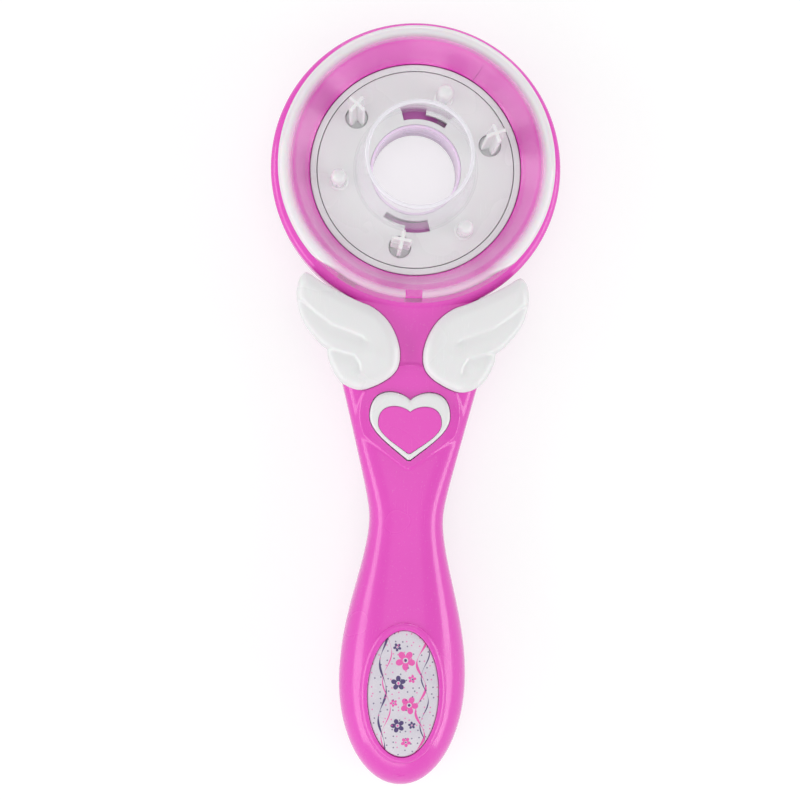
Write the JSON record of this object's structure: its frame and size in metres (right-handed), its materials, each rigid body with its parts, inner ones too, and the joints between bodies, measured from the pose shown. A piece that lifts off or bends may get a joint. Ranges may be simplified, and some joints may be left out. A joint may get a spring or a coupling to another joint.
{
  "type": "automatic hair braider",
  "caption": "Handheld hair braider: ring head with a clear centre tube and clear cover, turning spindle posts, wing trims, heart press button, oval label and rounded battery grip.",
  "frame": {"origin": "centre of the hair hole at the head's flat back face, on which the part lies", "axes": "+Z along the hair hole towards the front with the spindles, +Y from the handle towards the head, +X to the right seen from the front"},
  "size_m": [0.0908, 0.2398, 0.045],
  "materials": {
    "pink_casing": "gloss",
    "pink_inlay": "gloss",
    "pink_gear": "satin",
    "white_plastic": "gloss",
    "lilac_plastic": "gloss",
    "gear_plastic": "satin",
    "clear_plastic": "gloss",
    "label": "satin",
    "black_plastic": "satin",
    "circuit_board": "satin",
    "wire_sleeve": "satin",
    "cell_sleeve": "gloss",
    "motor_steel": "satin",
    "steel": "polished",
    "brass": "satin"
  },
  "bodies": {
    "casing": {"front_casing": "pink_casing", "back_casing": "pink_casing", "casing_screws": "steel", "clear_cover": "clear_plastic", "bezel_ring": "white_plastic", "hair_sleeve": "lilac_plastic", "sun_gear": "pink_gear", "wing_left": "white_plastic", "wing_right": "white_plastic", "label_plate": "label", "button_spring": "steel", "switch_body": "black_plastic", "switch_board": "circuit_board", "drive_axle": "steel", "idler_axle": "steel", "gear_bridge": "gear_plastic", "bridge_screws": "steel", "motor_can": "motor_steel", "motor_wires": "wire_sleeve", "cell_left": "cell_sleeve", "cell_right": "cell_sleeve", "cell_link": "steel", "cell_contacts": "steel", "cell_springs": "steel", "cell_wires": "wire_sleeve"},
    "rotor": {"rotor_plate": "white_plastic", "carrier_ring": "gear_plastic", "rotor_screws": "steel"},
    "spindle_1": {"spindle_post_1": "white_plastic", "planet_gear_1": "gear_plastic"},
    "spindle_2": {"spindle_post_2": "white_plastic", "planet_gear_2": "gear_plastic"},
    "spindle_3": {"spindle_post_3": "white_plastic", "planet_gear_3": "gear_plastic"},
    "tube": {"clear_tube": "clear_plastic"},
    "drive": {"drive_gear": "gear_plastic"},
    "idler": {"idler_gear": "gear_plastic"},
    "motor_rotor": {"motor_shaft": "steel", "motor_pinion": "brass"},
    "button": {"heart_button": "white_plastic", "heart_inlay": "pink_inlay", "switch_plunger": "black_plastic"},
    "door": {"battery_door": "pink_casing", "door_screw": "steel"}
  },
  "joints": [
    {"name": "rotor_spin", "type": "hinge", "parent": "casing", "child": "rotor", "pos_m": [0, 0, 0], "axis": [0, 0, 1], "continuous": true},
    {"name": "spindle_1_spin", "type": "hinge", "parent": "rotor", "child": "spindle_1", "pos_m": [0.0233, 0.00848, 0.01], "axis": [0, 0, 1], "continuous": true},
    {"name": "spindle_2_spin", "type": "hinge", "parent": "rotor", "child": "spindle_2", "pos_m": [-0.019, 0.01594, 0.01], "axis": [0, 0, 1], "continuous": true},
    {"name": "spindle_3_spin", "type": "hinge", "parent": "rotor", "child": "spindle_3", "pos_m": [-0.00431, -0.02442, 0.01], "axis": [0, 0, 1], "continuous": true},
    {"name": "tube_twist", "type": "hinge", "parent": "rotor", "child": "tube", "pos_m": [0, 0, 0.015], "axis": [0, 0, 1], "range_deg": [0, 24]},
    {"name": "drive_spin", "type": "hinge", "parent": "casing", "child": "drive", "pos_m": [0, -0.0384, 0.008], "axis": [0, 0, 1], "continuous": true},
    {"name": "idler_spin", "type": "hinge", "parent": "casing", "child": "idler", "pos_m": [0.00574, -0.04467, 0.004], "axis": [0, 0, 1], "continuous": true},
    {"name": "motor_spin", "type": "hinge", "parent": "casing", "child": "motor_rotor", "pos_m": [0, -0.05744, 0.004], "axis": [0, 0, 1], "continuous": true},
    {"name": "button_press", "type": "slide", "parent": "casing", "child": "button", "axis": [0, 0, -1], "range_m": [0, 0.001], "stiffness_N_per_m": 800, "springref_m": -0.002, "deforming": ["button_spring"]},
    {"name": "door_lift", "type": "slide", "parent": "casing", "child": "door", "axis": [0, 0, -1], "range_m": [0, 0.03]}
  ],
  "couplings": [
    {"joint": "spindle_1_spin", "follows": "rotor_spin", "ratio": 3.4286},
    {"joint": "spindle_2_spin", "follows": "rotor_spin", "ratio": 3.4286},
    {"joint": "spindle_3_spin", "follows": "rotor_spin", "ratio": 3.4286},
    {"joint": "drive_spin", "follows": "rotor_spin", "ratio": -7},
    {"joint": "idler_spin", "follows": "rotor_spin", "ratio": 16.8},
    {"joint": "motor_spin", "follows": "rotor_spin", "ratio": -77.28}
  ]
}
